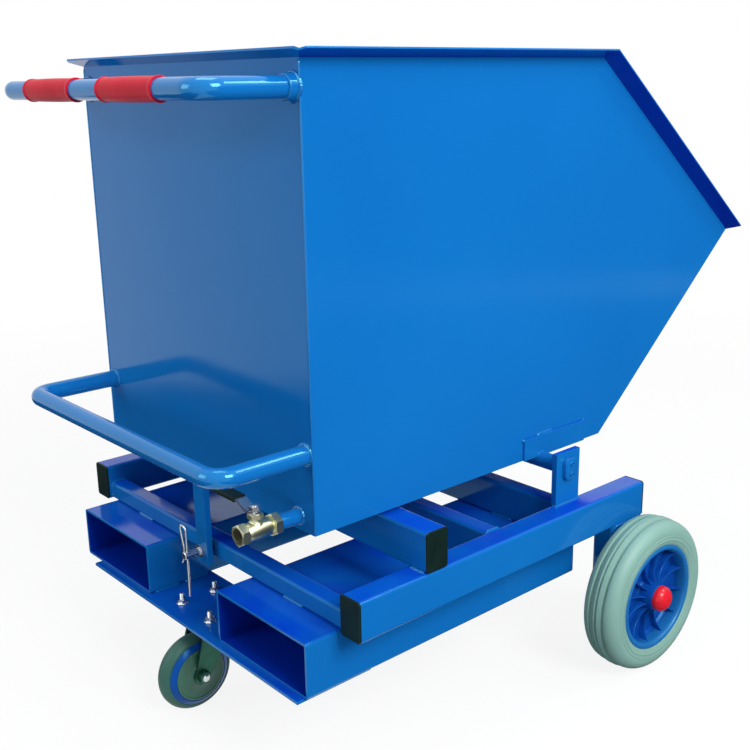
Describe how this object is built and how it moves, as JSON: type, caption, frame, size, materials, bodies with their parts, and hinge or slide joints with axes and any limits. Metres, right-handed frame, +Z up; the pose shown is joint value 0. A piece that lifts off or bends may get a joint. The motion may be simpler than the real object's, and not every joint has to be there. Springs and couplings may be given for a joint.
{
  "type": "tipping hopper",
  "caption": "Wheeled steel hopper that tips forward on side pivots to pour over its sloping chute, with fork pockets, push handle, drain valve and swivel castor.",
  "frame": {"origin": "on the ground, under the middle of the whole object's length and width", "axes": "+Z up, +X from the push handle towards the pouring lip, +Y to the left as one pushes"},
  "size_m": [1.1297, 0.894, 0.9908],
  "materials": {
    "blue_paint": "gloss powder coat",
    "black_plastic": "moulded",
    "black_rubber": "matt",
    "red_grip": "soft moulded",
    "red_plastic": "gloss",
    "grey_tyre": "smooth",
    "blue_plastic": "moulded",
    "grey_plastic": "moulded",
    "zinc": "bright zinc plate",
    "nickel_brass": "nickel-plated cast brass",
    "seat_plastic": "moulded"
  },
  "bodies": {
    "chassis": {"rail_right": "blue_paint", "rail_left": "blue_paint", "rail_caps": "black_plastic", "cross_tube": "blue_paint", "cross_tube_caps": "black_plastic", "rest_pads": "black_rubber", "fork_pocket_right": "blue_paint", "fork_pocket_left": "blue_paint", "rear_member": "blue_paint", "middle_member": "blue_paint", "front_member": "blue_paint", "castor_base_plate": "blue_paint", "pivot_lugs": "blue_paint", "wheel_legs": "blue_paint", "stub_axles": "zinc", "axle_washers": "zinc", "castor_top_plate": "zinc", "castor_thrust_ring": "zinc", "castor_king_pin": "zinc", "castor_bolts": "zinc", "castor_nuts": "zinc"},
    "hopper": {"hopper_side_right": "blue_paint", "hopper_side_left": "blue_paint", "hopper_floor": "blue_paint", "hopper_chute": "blue_paint", "hopper_back": "blue_paint", "pivot_doublers": "blue_paint", "pivot_bosses": "blue_paint", "pivot_bolts": "blue_paint", "push_handle": "blue_paint", "handle_collars": "blue_paint", "grips": "red_grip", "lower_bar": "blue_paint", "drain_stub": "blue_paint", "valve_body": "nickel_brass", "valve_seats": "seat_plastic", "valve_gland_nut": "nickel_brass", "latch_bar": "blue_paint", "latch_bush": "blue_paint"},
    "wheel_right": {"tyre_right": "grey_tyre", "wheel_rim_right": "blue_plastic", "hub_bush_right": "nickel_brass", "hub_cap_right": "red_plastic"},
    "wheel_left": {"tyre_left": "grey_tyre", "wheel_rim_left": "blue_plastic", "hub_bush_left": "nickel_brass", "hub_cap_left": "red_plastic"},
    "castor_yoke": {"castor_fork": "zinc", "castor_axle": "zinc"},
    "castor_wheel": {"castor_tyre": "grey_tyre", "castor_core": "blue_plastic", "castor_covers": "grey_plastic", "castor_bush": "nickel_brass"},
    "valve_handle": {"valve_ball": "zinc", "valve_stem": "nickel_brass", "valve_lever": "zinc", "lever_sleeve": "black_plastic", "lever_nut": "zinc"},
    "latch": {"latch_pin": "zinc", "spring_clip": "zinc"}
  },
  "joints": [
    {"name": "hopper_tip", "type": "hinge", "parent": "chassis", "child": "hopper", "pos_m": [0.04658, 0, 0.362], "axis": [0, 1, 0], "range_deg": [0, 65]},
    {"name": "wheel_right_spin", "type": "hinge", "parent": "chassis", "child": "wheel_right", "pos_m": [0.17258, -0.4, 0.1285], "axis": [0, 1, 0], "continuous": true},
    {"name": "wheel_left_spin", "type": "hinge", "parent": "chassis", "child": "wheel_left", "pos_m": [0.17258, 0.4, 0.1285], "axis": [0, 1, 0], "continuous": true},
    {"name": "castor_swivel", "type": "hinge", "parent": "chassis", "child": "castor_yoke", "pos_m": [-0.40942, 0, 0.14], "axis": [0, 0, 1], "continuous": true},
    {"name": "castor_spin", "type": "hinge", "parent": "castor_yoke", "child": "castor_wheel", "pos_m": [-0.44942, 0, 0.0625], "axis": [0, 1, 0], "continuous": true},
    {"name": "valve_turn", "type": "hinge", "parent": "hopper", "child": "valve_handle", "pos_m": [-0.48142, -0.24, 0.388], "axis": [0, 0, 1], "range_deg": [0, 90]},
    {"name": "latch_slide", "type": "slide", "parent": "hopper", "child": "latch", "axis": [1, 0, 0], "range_m": [0, 0.018]}
  ]
}
